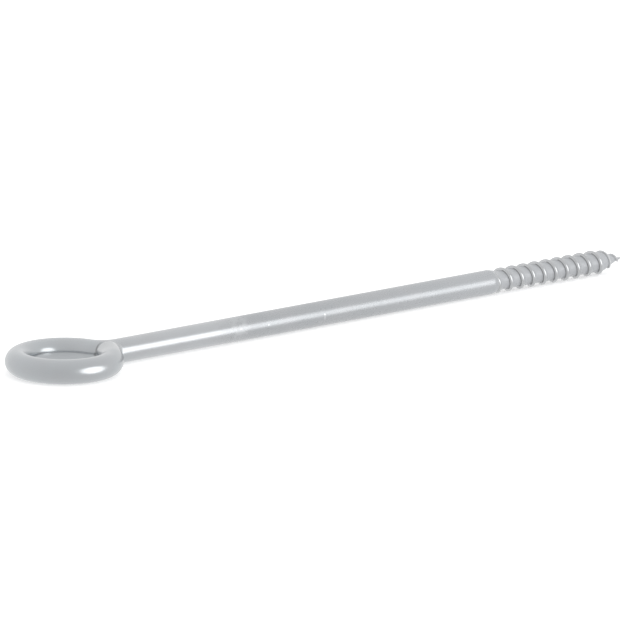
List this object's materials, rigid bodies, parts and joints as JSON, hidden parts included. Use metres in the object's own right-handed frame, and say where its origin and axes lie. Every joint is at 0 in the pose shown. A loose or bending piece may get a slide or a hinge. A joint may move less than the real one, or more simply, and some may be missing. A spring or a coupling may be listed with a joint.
{
  "type": "screw eye",
  "caption": "Long screw eye: one bent round wire with a closed eye, a plain shank and a wood-screw thread with a gimlet point.",
  "frame": {"origin": "centre of the eye, on the centreline of the wire", "axes": "+X along the shank from the eye to the point, +Z square to the plane of the eye, +Y towards the side that the neck bends to"},
  "size_m": [0.2514, 0.0386, 0.0093],
  "materials": {
    "zinc": "zinc-plated steel, satin, a little duller and finely scratched towards the thread"
  },
  "bodies": {
    "root": {"screw_eye": "zinc"}
  },
  "joints": []
}
